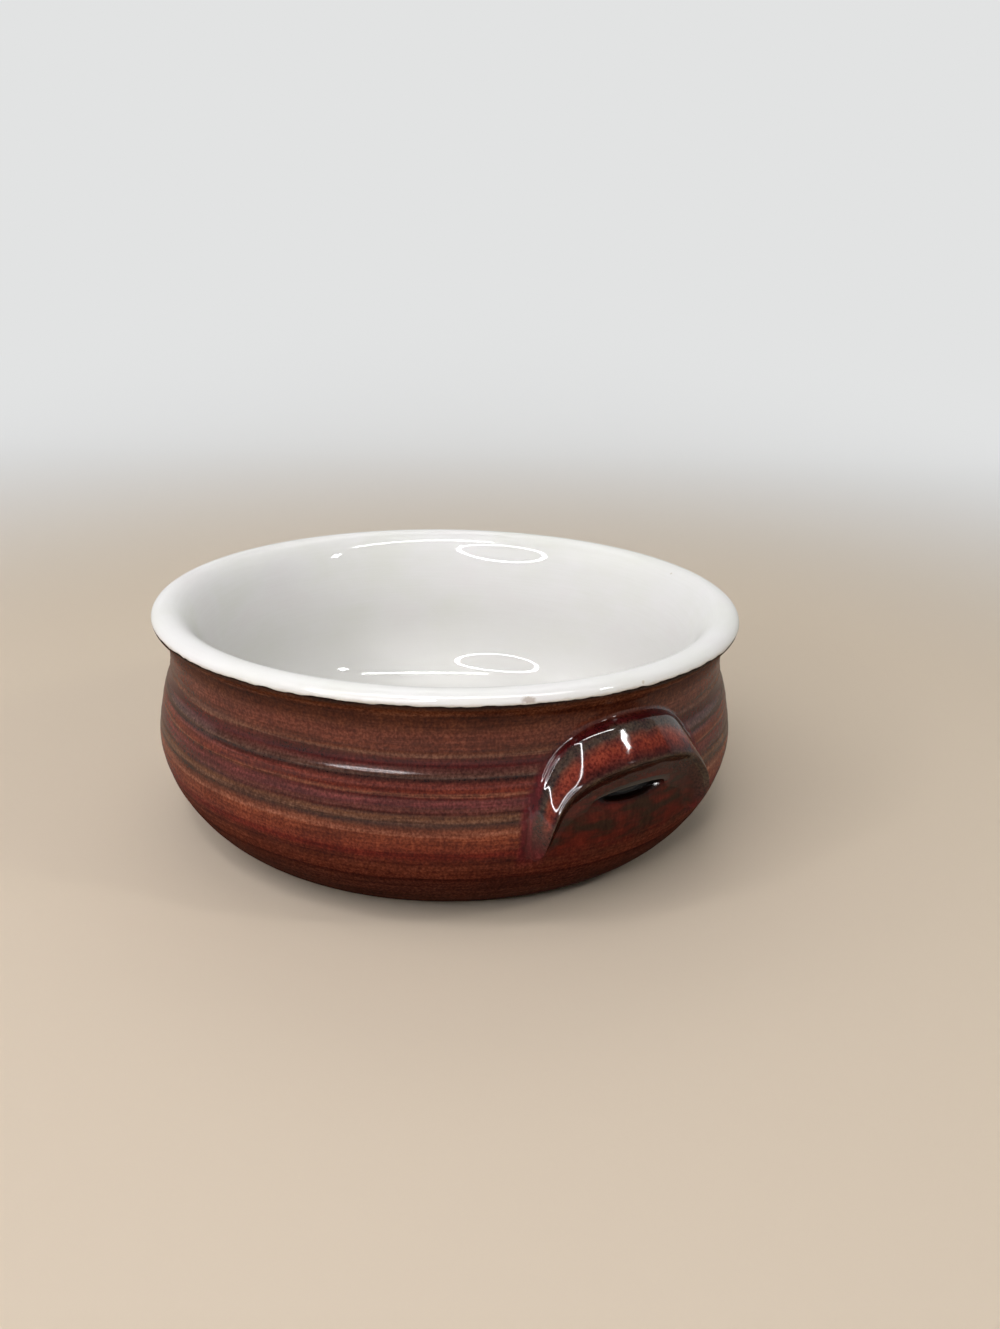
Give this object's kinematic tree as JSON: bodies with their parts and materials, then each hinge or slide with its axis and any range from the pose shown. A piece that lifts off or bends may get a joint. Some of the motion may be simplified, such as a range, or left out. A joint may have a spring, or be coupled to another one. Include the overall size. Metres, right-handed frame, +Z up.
{
  "type": "soup crock",
  "caption": "Low round glazed stoneware soup crock with an everted white lip, white inside, banded red-brown outside and a crescent lug handle on the belly.",
  "frame": {"origin": "centre of the flat foot, on the turning axis, at the height of the surface that the crock stands on", "axes": "+Z up along the turning axis, +X from the axis to the middle of the lug handle, +Y to the left when looking from the axis towards the lug"},
  "size_m": [0.1345, 0.1304, 0.0504],
  "materials": {
    "clay": "bare fired stoneware, matt and slightly gritty",
    "white_glaze": "glossy white liner glaze",
    "red_brown_glaze": "glossy red-brown glaze with turned bands of crimson, olive and dark brown",
    "luting": "glossy crimson glaze pooled along the seam",
    "lug_red_glaze": "glossy rust-red glaze with olive-dark edges"
  },
  "bodies": {
    "root": {"crock_body": "clay", "liner_glaze": "white_glaze", "outer_glaze": "red_brown_glaze", "lug_handle": "clay", "luting_coil": "luting", "lug_glaze": "lug_red_glaze"}
  },
  "joints": []
}
